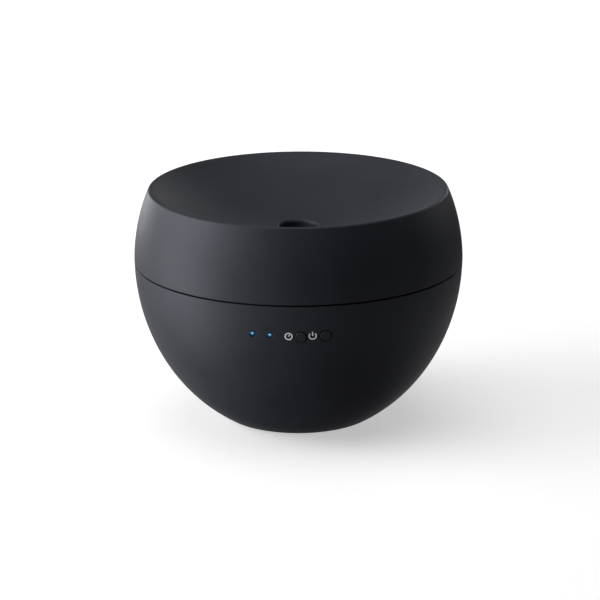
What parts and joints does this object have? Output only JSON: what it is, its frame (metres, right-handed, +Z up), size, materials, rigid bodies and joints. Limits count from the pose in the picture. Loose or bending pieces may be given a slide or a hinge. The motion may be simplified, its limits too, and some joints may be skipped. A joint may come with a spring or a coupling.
{
  "type": "essential oil diffuser",
  "caption": "Round tabletop ultrasonic aroma diffuser: bowl-shaped housing, dished lift-off cover with a central mist hole, and a small button panel.",
  "frame": {"origin": "on the table plane, under the body's vertical axis", "axes": "+Z up along the body's axis, -Y towards the user (the button panel faces -Y), +X to the user's right"},
  "size_m": [0.165, 0.165, 0.118],
  "materials": {
    "soft_touch_plastic": "soft-touch, matt",
    "hood_plastic": "smooth",
    "tank_plastic": "smooth",
    "base_plastic": "fine spark texture",
    "rubber": "matt",
    "silicone": "matt, translucent",
    "steel": "zinc plated",
    "dark_steel": "blackened",
    "aluminium": "plain",
    "copper": "enamelled copper wire",
    "brass": "polished",
    "black_plastic": "moulded",
    "white_plastic": "moulded",
    "circuit_board": "solder mask",
    "blue_sleeve": "shrunk sleeve",
    "blue_lamp": "clear blue, lit",
    "wire_sleeve": "smooth sleeve"
  },
  "bodies": {
    "housing": {"lower_housing": "soft_touch_plastic", "water_tank": "tank_plastic", "tank_seal": "silicone", "base_cover": "base_plastic", "foot_1": "rubber", "foot_2": "rubber", "foot_3": "rubber", "foot_4": "rubber", "base_screw_1": "steel", "base_screw_2": "steel", "base_screw_3": "steel", "base_screw_4": "steel", "tank_screw_1": "steel", "tank_screw_2": "steel", "tank_screw_3": "steel", "tank_screw_4": "steel", "transducer_disc": "steel", "transducer_seal": "silicone", "transducer_bracket": "aluminium", "transducer_screw_1": "steel", "transducer_screw_2": "steel", "transducer_screw_3": "steel", "fan_frame": "black_plastic", "fan_stator": "copper", "fan_duct": "base_plastic", "fan_screw_1": "dark_steel", "fan_screw_2": "dark_steel", "fan_screw_3": "dark_steel", "fan_screw_4": "dark_steel", "main_board": "circuit_board", "board_screw_1": "steel", "board_screw_2": "steel", "driver_coil": "copper", "capacitor_large": "blue_sleeve", "capacitor_small": "blue_sleeve", "heat_sink": "aluminium", "controller_chip": "black_plastic", "power_header": "white_plastic", "fan_header": "white_plastic", "panel_header": "white_plastic", "panel_board": "circuit_board", "panel_screw_1": "steel", "panel_screw_2": "steel", "timer_switch": "black_plastic", "power_switch": "black_plastic", "status_lamp_left": "blue_lamp", "status_lamp_right": "blue_lamp", "inlet_socket": "black_plastic", "inlet_pin": "brass", "power_lead": "wire_sleeve", "fan_lead": "wire_sleeve", "transducer_lead": "wire_sleeve", "panel_lead": "wire_sleeve"},
    "hood": {"mist_hood": "hood_plastic"},
    "cover": {"cover": "soft_touch_plastic"},
    "timer_button": {"timer_button": "soft_touch_plastic", "timer_plunger": "dark_steel"},
    "power_button": {"power_button": "soft_touch_plastic", "power_plunger": "dark_steel"},
    "fan": {"fan_rotor": "black_plastic"}
  },
  "joints": [
    {"name": "hood_lift", "type": "slide", "parent": "housing", "child": "hood", "axis": [0, 0, 1], "range_m": [0, 0.045]},
    {"name": "cover_lift", "type": "slide", "parent": "hood", "child": "cover", "axis": [0, 0, 1], "range_m": [0, 0.06]},
    {"name": "timer_press", "type": "slide", "parent": "housing", "child": "timer_button", "axis": [0, 0.9843, 0.1765], "range_m": [0, 0.0005], "stiffness_N_per_m": 1000, "springref_m": -0.0008},
    {"name": "power_press", "type": "slide", "parent": "housing", "child": "power_button", "axis": [0, 0.9843, 0.1765], "range_m": [0, 0.0005], "stiffness_N_per_m": 1000, "springref_m": -0.0008},
    {"name": "fan_spin", "type": "hinge", "parent": "housing", "child": "fan", "pos_m": [0, 0.034, 0.035], "axis": [0, 0, 1], "continuous": true}
  ]
}
